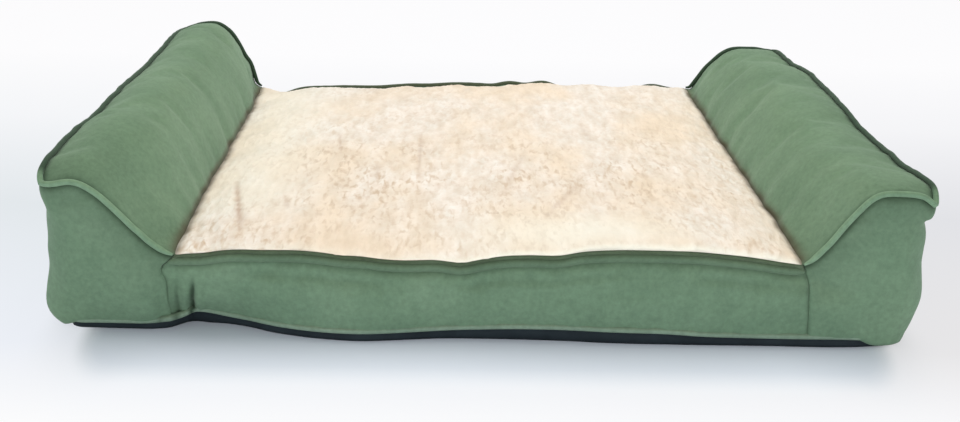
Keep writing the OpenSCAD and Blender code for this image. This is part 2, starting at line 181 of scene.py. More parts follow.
def evenBlock(name, cells):
    # a closed block with even cells on its six sides, and its points' places from 0 to 1 on each axis
    bpy.ops.mesh.primitive_grid_add(x_subdivisions=cells[0], y_subdivisions=cells[1], size=1,
                                    location=(0.5, 0.5, 0))
    obj = bpy.context.object
    obj.name = obj.data.name = name
    editAll(obj)
    for level in range(cells[2]):
        bpy.ops.mesh.extrude_region_move(TRANSFORM_OT_translate={"value": (0, 0, 1 / cells[2])})
    leaveEdit()
    faceOutwards(obj)
    inOrder(obj)
    bpy.ops.object.transform_apply()
    return obj, *readPoints(obj).T


def subdivide(obj, levels):
    applyModifier(obj, "SUBSURF", levels=levels, render_levels=levels, boundary_smooth="PRESERVE_CORNERS")


def markGroup(obj, name, chosen):
    obj.vertex_groups.new(name=name).add([int(i) for i in np.flatnonzero(chosen)], 1.0, "REPLACE")


def inGroup(obj, name):
    # which points belong wholly to a group
    index = obj.vertex_groups[name].index
    return np.array([any(g.group == index and g.weight > 0.999 for g in v.groups) for v in obj.data.vertices])


# what all the cloth has in common, by Blender's names for its settings
clothValues = {"quality": 6, "mass": 0.25, "air_damping": 2, "vertex_group_mass": "sewn", "use_pressure": True}


def plump(obj, v):
    # blows the piece up as stuffed cloth sewn down along its "sewn" points, and caps each point's move
    start = readPoints(obj)
    pick(obj)
    bpy.ops.object.modifier_add(type="CLOTH")
    cloth = obj.modifiers[-1]
    settings = {"tension_stiffness": v["stiffness"], "compression_stiffness": v["stiffness"],
                "shear_stiffness": v["stiffness"] * 0.5, "bending_stiffness": v["bending"],
                "uniform_pressure_force": v["pressure"], "shrink_min": -v["slack"], **clothValues}
    for key, value in settings.items():
        setattr(cloth.settings, key, value)
    cloth.settings.effector_weights.gravity = 0
    cloth.collision_settings.use_collision = False
    cloth.point_cache.frame_start = 1
    cloth.point_cache.frame_end = v["frames"]
    for step in range(1, v["frames"] + 1):
        bpy.context.scene.frame_set(step)
    bpy.ops.object.modifier_apply(modifier=cloth.name)
    bpy.context.scene.frame_set(1)
    move = readPoints(obj) - start
    reach = np.linalg.norm(move, axis=1, keepdims=True)
    # a soft cap, so that no ledge shows where the cloth reaches it
    move *= v["cap"] * np.tanh(reach / v["cap"]) / np.maximum(reach, 1e-9)
    writePoints(obj, start + move)
    print("   cloth moved", obj.name, "by up to", round(float(reach.max()) * 1000, 1), "mm")


def nearest(path, co):
    # distance from each point to the nearest point of a path, and which one it is
    tree = kdtree.KDTree(len(path))
    for i, p in enumerate(path):
        tree.insert(Vector(p), i)
    tree.balance()
    found = [tree.find(Vector(p)) for p in co]
    return np.array([f[2] for f in found]), np.array([f[1] for f in found])


def finishPiece(obj, material, nodes=(), body="bed"):
    obj.data.materials.clear()
    obj.data.materials.append(material)
    for polygon in obj.data.polygons:
        polygon.material_index = 0
    obj.data.shade_smooth()
    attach(obj, body)
    if nodes:
        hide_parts(*nodes)


def thinEnds(spline, taper):
    # an open cord thins out towards both its ends over that length
    for row in (list(spline.points), list(spline.points)[::-1]):
        run = 0.0
        for a, b in zip(row, row[1:]):
            a.radius = min(a.radius, 0.3 + 0.7 * min(run / taper, 1) ** 0.6)
            run += (b.co - a.co).length
            if run > taper:
                break


def weltAlong(source, name, material, node, v):
    # copies the edges of a piece's "welt" points off it as a line, and gives the line a cord's round section
    chosen = inGroup(source, "welt")
    path, outward = readPoints(source)[chosen], readNormals(source)[chosen]
    editAll(source)
    bpy.ops.mesh.select_mode(type="EDGE")
    bpy.ops.mesh.select_all(action="DESELECT")
    leaveEdit()
    for edge in source.data.edges:
        edge.select = bool(chosen[edge.vertices[0]] and chosen[edge.vertices[1]])
    bpy.ops.object.mode_set(mode="EDIT")
    bpy.ops.mesh.duplicate()
    bpy.ops.mesh.separate(type="SELECTED")
    leaveEdit()
    line = [o for o in bpy.context.selected_objects if o is not source][0]
    line.vertex_groups.clear()
    editAll(line)
    bpy.ops.mesh.delete(type="ONLY_FACE")
    bpy.ops.mesh.select_all(action="SELECT")
    bpy.ops.mesh.vertices_smooth(factor=0.5, repeat=3)
    leaveEdit()
    co = readPoints(line)
    which = nearest(path, co)[1]
    writePoints(line, co + outward[which] * v["weltLift"])
    bpy.ops.object.convert(target="CURVE")
    curve = bpy.context.object.data
    curve.bevel_depth = v["weltRadius"]
    curve.bevel_resolution = 3
    curve.use_fill_caps = True
    for spline in curve.splines:
        if not spline.use_cyclic_u:
            thinEnds(spline, v["weltTaper"])
    bpy.ops.object.convert(target="MESH")
    line = bpy.context.object
    line.name = line.data.name = name
    finishPiece(line, material, (node,))
    # painted shade on the cord, where the piece's values give it
    for shadeAttribute, strength in v.get("weltPaintedShade", {}).items():
        writeAttribute(line, shadeAttribute, strength)
    return line


def feed(tree, socket, value):
    # links an input to another node's output, or sets it to a value
    if isinstance(value, bpy.types.NodeSocket):
        tree.links.new(value, socket)
    else:
        socket.default_value = value


def addNode(tree, kind, inputs=(), **settings):
    node = tree.nodes.new("ShaderNode" + kind)
    for key, value in settings.items():
        setattr(node, key, value)
    for key, value in dict(inputs).items():
        feed(tree, node.inputs[key], value)
    return node


def feedShader(tree, **sockets):
    for key, value in sockets.items():
        feed(tree, tree.nodes["Principled BSDF"].inputs[key.replace("_", " ")], value)


def newMaterial(name, **sockets):
    mat = bpy.data.materials.new(name)
    mat.use_nodes = True
    feedShader(mat.node_tree, **sockets)
    return mat, mat.node_tree


def placeNode(tree):
    return addNode(tree, "TexCoord").outputs["Object"]


def noiseNode(tree, source, scale, detail, roughness, stretch=None, distortion=0.0):
    if stretch:
        source = addNode(tree, "Mapping", {"Vector": source, "Scale": stretch}).outputs["Vector"]
    return addNode(tree, "TexNoise", {"Vector": source, "Scale": scale, "Detail": detail, "Roughness": roughness,
                                      "Distortion": distortion}).outputs["Fac"]


def rampNode(tree, source, stops):
    # each stop is a place and a colour, or a place and one number for a grey
    node = addNode(tree, "ValToRGB", {"Fac": source})
    elements = node.color_ramp.elements
    while len(elements) < len(stops):
        elements.new(0.5)
    for element, (place, colour) in zip(elements, stops):
        element.position = place
        element.color = (*(colour if isinstance(colour, tuple) else (colour,) * 3), 1)
    return node.outputs["Color"]


def blendNode(tree, factor, a, b, mode="MIX"):
    node = addNode(tree, "Mix", data_type="RGBA", blend_type=mode)
    for name, value in (("Factor", factor), ("A", a), ("B", b)):
        socket = [s for s in node.inputs if s.name == name and s.enabled][0]
        feed(tree, socket, (*value, 1) if isinstance(value, tuple) else value)
    return [s for s in node.outputs if s.enabled][0]


def timesNode(tree, a, b):
    return blendNode(tree, 1.0, a, b, "MULTIPLY")


def bumpNode(tree, height, strength, distance, after=None):
    inputs = {"Height": height, "Strength": strength, "Distance": distance}
    if after is not None:
        inputs["Normal"] = after
    return addNode(tree, "Bump", inputs).outputs["Normal"]


def attributeNode(tree, name):
    return addNode(tree, "Attribute", attribute_name=name).outputs["Fac"]


suedeValues = {
    "nap": [(0.33, (0.155, 0.258, 0.164)), (0.5, (0.176, 0.287, 0.183)), (0.68, (0.199, 0.314, 0.203))],
    "upwardShade": (0.815, 0.80, 0.735),       # painted shade: the cloth darker and warmer where it faces up, for how the light falls on it
    "seamShade": (0.036, 0.066, 0.038),
    "fleeceShadowLine": (0.080, 0.066, 0.034),    # painted brown shadow along the fleece's edge, on the bolsters, the welts and the border's top
    # for each noise: lumps per metre, detail, roughness
    "napPatches": (11, 5, 0.6),
    "speckle": (160, 4, 0.65),
    "creases": (60, 4, 0.5),
    "grain": (950, 3, 0.6),
}


def makeSuede(name, lift=(1, 1, 1)):
    # lift lightens the three colour channels of the nap, for lighter copies that stand in for light on the cords:
    # painted highlight
    v = suedeValues
    mat, tree = newMaterial(name, Roughness=0.88, Sheen_Weight=0.18, Sheen_Roughness=0.45,
                            Sheen_Tint=(0.75, 0.9, 0.75, 1), Specular_IOR_Level=0.25)
    place = placeNode(tree)
    nap = [(at, tuple(c * f for c, f in zip(colour, lift))) for at, colour in v["nap"]]
    colour = rampNode(tree, noiseNode(tree, place, *v["napPatches"]), nap)
    speckle = noiseNode(tree, place, *v["speckle"])
    colour = timesNode(tree, colour, rampNode(tree, speckle, [(0.3, 0.86), (0.7, 1.1)]))
    # painted shade on upward faces, set by how far the normal points up
    normal = addNode(tree, "NewGeometry").outputs["Normal"]
    facing = addNode(tree, "SeparateXYZ", {0: normal}).outputs["Z"]
    colour = timesNode(tree, colour, rampNode(tree, facing, [(0.15, 1), (0.75, v["upwardShade"])]))
    # painted shade in seams and creases, and the painted brown shadow along the fleece
    for attribute in ("seamShade", "fleeceShadowLine"):
        colour = blendNode(tree, attributeNode(tree, attribute), colour, v[attribute])
    normal = bumpNode(tree, noiseNode(tree, place, *v["creases"]), 0.25, 0.003)
    normal = bumpNode(tree, noiseNode(tree, place, *v["grain"]), 0.4, 0.0006, normal)
    feedShader(tree, Base_Color=colour, Normal=normal)
    return mat


fleeceValues = {
    # colour by the pile's height: darker deep in it, as painted shade in its hollows
    "pile": [(0.1, (0.78, 0.66, 0.54)), (0.5, (0.87, 0.77, 0.66)), (0.85, (0.92, 0.85, 0.76))],
    # how much of each colour below shows, by the noise that spreads it
    "blushShare": [(0.42, 0), (0.62, 0.8)],
    "strokeShare": [(0.48, 0), (0.7, 1)],
    "patchShare": [(0.36, 0.15), (0.62, 1)],
    "blush": (0.87, 0.71, 0.53),
    "stroke": (0.64, 0.48, 0.33),
    "mottle": [(0.36, (0.91, 0.895, 0.865)), (0.6, 1.02)],
    # painted highlight on the front edge, painted light by the left seam, and a paler patch
    "paleAndHighlit": (0.97, 0.95, 0.82),
    # painted shade in the partings
    "parted": (0.52, 0.36, 0.25),
    "seamShade": (0.16, 0.13, 0.08),
}


def makeFleece(name):
    v = fleeceValues
    mat, tree = newMaterial(name, Roughness=0.95, Sheen_Weight=0.25, Sheen_Roughness=0.5, Specular_IOR_Level=0.15)
    place = placeNode(tree)
    # painted shade in the pile's hollows, by its height
    colour = rampNode(tree, attributeNode(tree, "pile"), v["pile"])
    blush = noiseNode(tree, place, 1, 3, 0.5, stretch=(8, 4, 8))
    colour = blendNode(tree, rampNode(tree, blush, v["blushShare"]), colour, v["blush"])
    mottle = noiseNode(tree, place, 1, 4, 0.6, stretch=(42, 15, 42))
    colour = timesNode(tree, colour, rampNode(tree, mottle, v["mottle"]))
    # short darker strokes where the pile lies open, gathered in patches
    strokes = noiseNode(tree, place, 1, 2, 0.5, stretch=(150, 52, 150), distortion=0.5)
    patches = noiseNode(tree, place, 9, 3, 0.6)
    share = timesNode(tree, rampNode(tree, strokes, v["strokeShare"]), rampNode(tree, patches, v["patchShare"]))
    share = timesNode(tree, share, attributeNode(tree, "frontShare"))
    colour = blendNode(tree, share, colour, v["stroke"])
    # painted highlight and light, then painted shade in the partings and along the side seams
    for attribute in ("paleAndHighlit", "parted", "seamShade"):
        colour = blendNode(tree, attributeNode(tree, attribute), colour, v[attribute])
    normal = bumpNode(tree, strokes, 0.5, 0.0025)
    normal = bumpNode(tree, noiseNode(tree, place, 420, 3, 0.6), 0.35, 0.001, normal)
    feedShader(tree, Base_Color=colour, Normal=normal)
    return mat


# plain finishes: the noise that spreads the tones and how it is stretched, the tones, the roughness, the bump
finishValues = {
    "dark_base_cloth": {"noise": (18, 4, 0.6), "roughness": 0.8, "weave": (700, 2, 0.5), "bump": (0.5, 0.0008),
                        "tones": [(0.35, (0.010, 0.017, 0.022)), (0.68, (0.020, 0.031, 0.038))]},
    "moulded_zip_teeth": {"noise": (220, 3, 0.5), "roughness": [(0.3, 0.36), (0.7, 0.5)],
                          "tones": [(0.3, (0.0238, 0.034, 0.0323)), (0.7, (0.0336, 0.048, 0.0456))]},
    "satin_nickel": {"noise": (1, 4, 0.6, (120, 500, 900)), "roughness": [(0.3, 0.26), (0.7, 0.42)],
                     "tones": [(0.3, (0.516, 0.5074, 0.4902)), (0.7, (0.60, 0.59, 0.57))], "bump": (0.15, 0.0002)},
    "green_thread": {"noise": (1, 2, 0.5, (1500, 600, 600)), "roughness": 0.6,
                     "tones": [(0.35, (0.1125, 0.17625, 0.12)), (0.65, (0.150, 0.235, 0.160))]},
}


def makeFinish(name, **sockets):
    v = finishValues[name]
    mat, tree = newMaterial(name, **sockets)
    place = placeNode(tree)
    spread = noiseNode(tree, place, *v["noise"])
    roughness = v["roughness"]
    feedShader(tree, Base_Color=rampNode(tree, spread, v["tones"]),
               Roughness=rampNode(tree, spread, roughness) if isinstance(roughness, list) else roughness)
    if "bump" in v:
        height = noiseNode(tree, place, *v["weave"]) if "weave" in v else spread
        feedShader(tree, Normal=bumpNode(tree, height, *v["bump"]))
    return mat


def makeZipTape(name):
    # a woven tape with fine slanting ribs
    mat, tree = newMaterial(name, Roughness=0.75, Sheen_Weight=0.15, Specular_IOR_Level=0.3)
    ribs = addNode(tree, "TexWave", {"Vector": placeNode(tree), "Scale": 320, "Distortion": 0.6},
                   wave_type="BANDS", bands_direction="DIAGONAL").outputs["Fac"]
    colour = rampNode(tree, ribs, [(0.2, (0.012, 0.0204, 0.018)), (0.8, (0.030, 0.051, 0.045))])
    feedShader(tree, Base_Color=colour, Normal=bumpNode(tree, ribs, 0.6, 0.0004))
    return mat


suede = makeSuede("green_suede")
# lighter copies of the suede for the cords: painted highlight, greyer on the base's cord
suedeHighlitWelt = makeSuede("green_suede_welt_highlight", (1.2, 1.2, 1.2))
suedeHighlitRim = makeSuede("green_suede_rim_highlight", (1.4, 1.22, 1.4))
fleece = makeFleece("cream_sherpa")
baseCloth = makeFinish("dark_base_cloth", Specular_IOR_Level=0.3)
zipTape = makeZipTape("woven_zip_tape")
zipPlastic = makeFinish("moulded_zip_teeth", Specular_IOR_Level=0.5)
zipMetal = makeFinish("satin_nickel", Metallic=1.0)
thread = makeFinish("green_thread", Sheen_Weight=0.2)
print("materials made")


cameraValues = {
    "lens": 45.74,
    "place": (-0.0447, -1.6968, 0.6688),
    "turned": (69.04067, -1.37651, -0.85379),      # degrees about x, y and z
}


def addCamera(v):
    bpy.ops.object.camera_add(location=v["place"], rotation=[math.radians(angle) for angle in v["turned"]])
    camera = bpy.context.object
    camera.data.lens = v["lens"]
    camera.data.sensor_width = 36
    bpy.context.scene.camera = camera


lightValues = {
    # name: (place, aimed at, size, power, colour)
    "overhead": ((0.1, 0.5, 2.4), (0, 0, 0), 2.4, 44, (1.0, 0.99, 0.96)),
    "frontFill": ((0.2, -3.0, 1.5), (0, 0, 0.1), 2.2, 26, (1.0, 0.99, 0.99)),
    "leftFill": ((-3.0, -0.6, 1.5), (0, 0, 0.1), 1.8, 8, (0.96, 0.98, 1.0)),
}


def addLights():
    for name, (place, aim, size, power, colour) in lightValues.items():
        bpy.ops.object.light_add(type="AREA", location=place)
        lamp = bpy.context.object
        lamp.name = name
        lamp.rotation_euler = (Vector(aim) - Vector(place)).to_track_quat("-Z", "Y").to_euler()
        lamp.data.shape = "DISK"
        lamp.data.size = size
        lamp.data.energy = power
        lamp.data.color = colour


def seenShare(tree):
    # 1 for what the camera sees, straight or in metal and glass, and 0 for light that falls on the bed
    path = addNode(tree, "LightPath")
    total = path.outputs["Is Camera Ray"]
    for other in ("Is Glossy Ray", "Is Transmission Ray"):
        total = addNode(tree, "Math", {0: total, 1: path.outputs[other]}, operation="MAXIMUM").outputs[0]
    return total


worldValues = {
    "seen": (0.98, 0.985, 0.99, 1),
    "fill": (0.93, 0.96, 1.0, 1),
    "fillStrength": 0.42,
}


def addWorld(v):
    world = bpy.data.worlds.new("studio")
    bpy.context.scene.world = world
    world.use_nodes = True
    tree = world.node_tree
    tree.nodes.clear()
    seen = addNode(tree, "Background", {"Color": v["seen"]})
    fill = addNode(tree, "Background", {"Color": v["fill"], "Strength": v["fillStrength"]})
    both = addNode(tree, "MixShader", {0: seenShare(tree), 1: fill.outputs[0], 2: seen.outputs[0]})
    addNode(tree, "OutputWorld", {"Surface": both.outputs[0]})


floorValues = {
    "bedHalf": (0.43, 0.381, 0),
    "sideways": 2.2,        # how much faster the shade ends beside the bed than in front of it
    "reach": (0, 0.25),     # metres from the bed over which the two rows below run
    # the floor's colour, darker close to the bed: painted shadow
    "shade": [(0, (0.70, 0.74, 0.82)), (0.30, (0.72, 0.76, 0.83)), (0.48, (0.87, 0.89, 0.93)),
        (0.8, (0.93, 0.94, 0.96))],
    "backdropShare": [(0.25, 0), (0.38, 0.12), (0.52, 0.65), (1, 0.95)],
    # the glowing backdrop's tone from the front to the back, at its left and its right, darker in a middle band as
    # painted shade
    "backdropLeft": [(0, (0.98, 0.98, 0.985)), (0.11, (0.84, 0.87, 0.93)), (0.36, (0.76, 0.80, 0.83)),
        (0.62, (0.91, 0.92, 0.94)), (0.9, (0.985, 0.98, 0.99))],
    "backdropRight": [(0, (0.97, 0.965, 0.98)), (0.11, (0.80, 0.79, 0.80)), (0.36, (0.755, 0.76, 0.79)),
        (0.62, (0.91, 0.91, 0.93)), (0.9, (0.985, 0.98, 0.99))],
    "acrossRun": (-0.6, 0.6),       # metres in x from the left tone to the right one
    "alongRun": (-0.6, 1.2),        # metres in y from the first tone to the last
}


def addFloor(v):
    bpy.ops.mesh.primitive_plane_add(size=16, location=(0, 2, -0.0004))
    floor = bpy.context.object
    floor.name = "floor"
    mat, tree = newMaterial("pale_floor", Roughness=0.9, Specular_IOR_Level=0.1)
    place = addNode(tree, "NewGeometry").outputs["Position"]
    # how far a point lies outside the bed's rectangle
    away = place
    for kind, by in (("ABSOLUTE", None), ("SUBTRACT", v["bedHalf"]), ("MAXIMUM", (0, 0, 0)),
                     ("MULTIPLY", (v["sideways"], 1, 0)), ("LENGTH", None)):
        step = addNode(tree, "VectorMath", {0: away, 1: by} if by else {0: away}, operation=kind)
        away = step.outputs["Value" if kind == "LENGTH" else "Vector"]
    axes = addNode(tree, "SeparateXYZ", {0: place}).outputs
    away, across, along = [
        addNode(tree, "MapRange", {"Value": source, "From Min": low, "From Max": high}).outputs["Result"]
        for source, (low, high) in ((away, v["reach"]), (axes["X"], v["acrossRun"]), (axes["Y"], v["alongRun"]))]
    feedShader(tree, Base_Color=rampNode(tree, away, v["shade"]))
    share = rampNode(tree, away, v["backdropShare"])
    share = addNode(tree, "Math", {0: share, 1: seenShare(tree)}, operation="MULTIPLY")
    tone = blendNode(tree, across, *[rampNode(tree, along, v[k]) for k in ("backdropLeft", "backdropRight")])
    white = addNode(tree, "Emission", {"Color": tone})
    blend = addNode(tree, "MixShader", {0: share.outputs[0], 1: tree.nodes["Principled BSDF"].outputs[0],
                                        2: white.outputs[0]})
    feed(tree, tree.nodes["Material Output"].inputs["Surface"], blend.outputs[0])
    floor.data.materials.append(mat)


addCamera(cameraValues)
addLights()
addWorld(worldValues)
addFloor(floorValues)
bpy.context.scene.view_settings.view_transform = "Standard"
print("camera, lights and floor placed")


cordRadius = 3.5 * mm       # of the CAD piping, from a seam's box to its middle
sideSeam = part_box("right_bolster_piping")[0].x      # where fleece and bolster meet
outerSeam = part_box("right_bolster_piping")[1].x - cordRadius
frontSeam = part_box("front_piping")[0].y + cordRadius
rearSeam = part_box("rear_piping")[1].y - cordRadius
topSeam = (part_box("front_piping")[0].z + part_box("front_piping")[1].z) / 2
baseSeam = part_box("base_piping")[1].z

outlineValues = {
    # how far the front's foot stands ahead of its top seam, as the cloth slumps: (x, forward), in mm
    "frontFoot": [(-520, -14), (-479, -14), (-431, -13), (-400, -13), (-384, -17), (-363, -34), (-338, -32),
        (-314, -29), (-288, -21), (-262, -9), (-237, -1), (-212, 5), (-188, 9), (-152, 12), (-117, 9), (-93, 6),
        (-60, 2), (0, 1), (51, 2), (99, 4), (135, 7), (219, 9), (340, 9), (437, 9), (480, 4), (520, 0)],
    # how far the front's foot is drawn up off the floor: (x, up), in mm
    "footRise": [(-520, -4), (-470, -2), (-384, 1), (-366, 4), (-360, 7), (-354, 15), (-347, 16), (-335, 12),
        (-315, 6), (-300, 4), (-270, 2), (-240, 0), (-80, 1), (-21, 5), (27, 8), (160, 8), (225, 6), (250, 3),
        (300, 1), (350, 0), (435, 0), (470, -4), (520, -6)],
    # how far the fleece's front and rear edges wave up and down: (x, up), in mm
    "frontWave": [(-381, -4), (-358, -1), (-335, 0), (-312, 4), (-265, 5), (-219, 5), (-196, 3), (-172, 0),
        (-149, -1), (-126, -4), (-103, -5), (-60, -4), (-33, -7), (-9, -2), (14, 2), (50, 4), (84, 4), (107, 9),
        (130, 11), (201, 12), (248, 11), (271, 9), (295, 7), (319, 4), (345, 0), (381, -3)],
    "rearWave": [(-381, -6), (-366, -14), (-352, -20), (-330, -19), (-300, -15), (-256, -13), (-172, -11),
        (-130, -7), (-88, -6), (-46, -3), (-4, -3), (50, 1), (110, 4), (144, 2), (186, 4), (228, 1), (270, 4),
        (300, 4), (340, 3), (365, 9)],
    # the rear welt's height against the mattress's top seam: (x, up), in mm
    "rearWelt": [(-381, -16), (-345, -18), (-315, -8), (-256, -3), (-172, -1), (-130, 3), (-88, 4), (-46, 7),
        (-4, 7), (20, 6), (50, 11), (80, 9), (110, 13), (144, 3), (186, 3), (270, 4), (300, 11), (330, 6),
        (365, 2)],
    # the line where fleece and bolster meet: (y, distance from the middle), in mm
    "leftSeam": [(-381, 367), (-200, 369), (0, 371), (250, 373), (381, 379)],
    "rightSeam": [(-381, 368), (-200, 366), (0, 363), (200, 361), (381, 358)],
    # how far the front's upright seams stand outside those two lines: (z, outwards), in mm
    "leftUpright": [(0, 13), (25, 14), (70, 14), (90, 16), (99, 3), (103, 0)],
    "rightUpright": [(0, 15), (25, 14), (58, 11), (87, 8), (99, 3), (103, 0)],
    "uprightX": 372 * mm,
    "uprightReach": 50 * mm,        # how far beside it the cloth follows an upright seam
    "footTop": 97 * mm,             # how far up the front's foot moves its wall
    "footPower": 1.3,
    "waveReach": {"front": 110 * mm, "rear": 90 * mm},
    "seamWander": 3 * mm,
    "wanderLength": 48 * mm,
    # the gathered folds at the left front seam: (x at the lower level, x at the upper, out, half width), in mm
    "folds": [(-391, -387, -3.0, 3.5), (-382, -378, 4.5, 3.2), (-374, -370, -3.5, 2.8), (-366, -358, 5.0, 4.0),
        (-358, -350, -10.0, 2.6), (-348, -340, 4.5, 4.5)],
    "foldLevels": (22, 65),
    "foldTop": 86 * mm,
    "foldFade": 42 * mm,
    "wallSwell": 9 * mm,            # how far a stuffed front or rear wall swells
    "wallFoot": 2 * mm,
}


def outlineAt(name, at):
    return throughPoints(outlineValues[name], at)


def nearFront(y, start, run):
    # 0 up to that distance in front of the middle, and 1 past the run that follows it
    return ease((-y - start) / run)


def slump(co):
    # moves the foot of the front forwards or back, less and less towards its top seam
    x, y, z = co.T
    share = unit(1 - z / outlineValues["footTop"]) ** outlineValues["footPower"]
    near = nearFront(y, 290 * mm, 70 * mm)
    out = co.copy()
    out[:, 1] -= outlineAt("frontFoot", x) * share * near
    out[:, 2] += outlineAt("footRise", x) * near * unit(z / (8 * mm)) * share ** 3
    return out


def edgeWave(x, y):
    # the mattress top's waves, strongest at its front and rear edges
    reach = outlineValues["waveReach"]
    front = outlineAt("frontWave", x) * np.exp(-(y - frontSeam) / reach["front"])
    return front + outlineAt("rearWave", x) * np.exp(-(rearSeam - y) / reach["rear"])


def seamX(side, y):
    # distance from the middle to the fleece's side seam, which wanders a little
    y = np.asarray(y, float)
    flat = np.atleast_1d(y).ravel()
    wander = noiseAt(np.stack([flat * 0, flat, flat * 0], 1), outlineValues["wanderLength"], 3 + side, 2)
    return (outlineAt("leftSeam" if side < 0 else "rightSeam", y)
            + outlineValues["seamWander"] * wander.reshape(y.shape))


def shiftUprights(co):
    # leads the front's upright seams off the fleece's corners, with the cloth beside them
    v = outlineValues
    out = co.copy()
    near = nearFront(co[:, 1], 300 * mm, 60 * mm)
    for side, name in ((-1, "leftUpright"), (1, "rightUpright")):
        beside = bell(co[:, 0] * side - v["uprightX"], v["uprightReach"])
        out[:, 0] += side * outlineAt(name, co[:, 2]) * beside * near
    return out


def pinchFolds(x, z):
    # how far the cloth stands out where it is gathered at the left front seam
    v = outlineValues
    low, high = v["foldLevels"]
    share = unit((v["foldTop"] - z) / v["foldFade"])
    out = x * 0
    for xLow, xHigh, height, half in v["folds"]:
        centre = mix(xLow, xHigh, (z / mm - low) / (high - low)) * mm
        out = out + height * mm * bell(x - centre, half * mm)
    return out * ease(share) * (0.3 + 0.7 * share)


def roundCorner(x, y, cornerX, cornerY, radius):
    # turns the square corner zone of that radius into a quarter disc, with its cells kept even
    inX, inY = np.sign(cornerX), np.sign(cornerY)
    centreX, centreY = cornerX - inX * radius, cornerY - inY * radius
    dx, dy = (x - centreX) * inX / radius, (y - centreY) * inY / radius
    zone = (dx > 1e-9) & (dy > 1e-9)
    big = np.maximum(dx, dy)
    with np.errstate(divide="ignore", invalid="ignore"):
        angle = np.where(dx >= dy, dy / dx, 2 - dx / dy) * math.pi / 4
    newX = np.where(zone, centreX + inX * radius * big * np.cos(angle), x)
    newY = np.where(zone, centreY + inY * radius * big * np.sin(angle), y)
    return newX, newY


def wallBulge(up):
    # how far a stuffed front or rear wall stands out from its top seam, by share of height
    v = outlineValues
    return v["wallSwell"] * wave(unit(up) ** 0.8) + v["wallFoot"] * (1 - up)


bolsterValues = {
    "cells": (26, 94, 22),
    "topRadius": 24 * mm,
    "grooveDepth": 2.2 * mm,        # how deep the cloth is drawn in along the welt
    "puckerDepth": 1.1 * mm,
    "lumps": 1.6 * mm,
    "weltRadius": 3.5 * mm,
    "weltLift": 2.7 * mm,
    "weltTaper": 16 * mm,
    "sideWeltShade": 1,
    "cloth": {"pressure": 2.6, "slack": 0.01, "stiffness": 14, "bending": 3.0, "cap": 3.5 * mm, "frames": 20},
    "left": {
        "side": -1,
        "crown": 22 * mm,
        "crownAtEnds": (0.12, 0.6),
        "frontRamp": (0.0, 0.8),        # shares of the width over which each end rises
        "rearRamp": (0.11, 0.59),
        "rearPower": 2.2,
        "shoulder": 0.22,
        "ear": (6 * mm, 2 * mm),        # how far the front outer corner pokes out and forwards
        "droop": (9 * mm, 24 * mm),     # how far it hangs, and how wide
        "cornerFoot": 480 * mm,         # from here outwards the cloth hangs down over the base
        "footRadius": 16 * mm,
        # the outer wall's swell by height, and the outer seam's height and place by y, in mm
        "wall": [(0, 6), (8, 14), (14, 20), (22, 24), (33, 24), (46, 21), (59, 18), (72, 15), (85, 13), (98, 12),
            (107, 10), (140, 7), (158, 6), (175, 8), (187, 7), (206, 0)],
        "outerSeam": [(-381, 191), (-366, 198), (-350, 204), (-320, 205), (-290, 205), (-257, 206), (-220, 206),
            (-180, 204), (-141, 204), (-95, 206), (-50, 206), (0, 205), (50, 202), (101, 200), (160, 201),
            (220, 202), (286, 204), (353, 201), (381, 196)],
        "outward": [(-381, 8), (-264, 8), (-150, 3), (-60, 2), (100, 3), (381, 1)],
    },
    "right": {
        "side": 1,
        "crown": 10 * mm,
        "crownAtEnds": (0.12, 0.3),
        "frontRamp": (0.0, 0.6),
        "rearRamp": (0.08, 0.555),
        "rearPower": 1.8,
        "shoulder": 0,
        "ear": (7 * mm, 3 * mm),
        "droop": (30 * mm, 12 * mm),
        "cornerFoot": 440 * mm,
        "footRadius": 26 * mm,
        "wall": [(0, 2), (8, 3), (14, 5), (26, 9), (36, 12), (53, 16), (84, 12), (105, 8), (122, 6), (140, 4),
            (152, 0), (163, -4), (168, -2), (174, 5), (180, 9), (195, 0)],
        "outerSeam": [(-381, 193), (-345, 197), (-318, 196), (-292, 192), (-264, 189), (-226, 190), (-195, 188),
            (-150, 188), (-102, 189), (-55, 194), (-10, 197), (44, 197), (96, 196), (157, 196), (212, 191),
            (260, 186), (300, 185), (342, 185), (381, 180)],
        "outward": [(-381, 8), (-264, 6), (-150, 4), (-30, 0), (100, 3), (381, 1)],
    },
}


def bolsterHeight(across, along, y, v):
    # a low scoop at the front end, turning into a full round roll further back
    endShare = mix(*v["crownAtEnds"], along)
    swell = 1 - (1 - endShare) * np.abs(2 * along - 1) ** 4
    front = (across - v["frontRamp"][0]) / (v["frontRamp"][1] - v["frontRamp"][0])
    start = v["rearRamp"][0] * ease((along - 0.84) / 0.14)
    rear = (across - start) / (v["rearRamp"][1] - start)
    share = mix(ease(front), 1 - (1 - unit(rear)) ** v["rearPower"], ease(along / 0.22))
    share = share + v["shoulder"] * bell(across - 0.16, 0.035) * ease((along - 0.86) / 0.12)
    return topSeam + (throughPoints(v["outerSeam"], y) - topSeam) * share + v["crown"] * swell * wave(across ** 1.6)


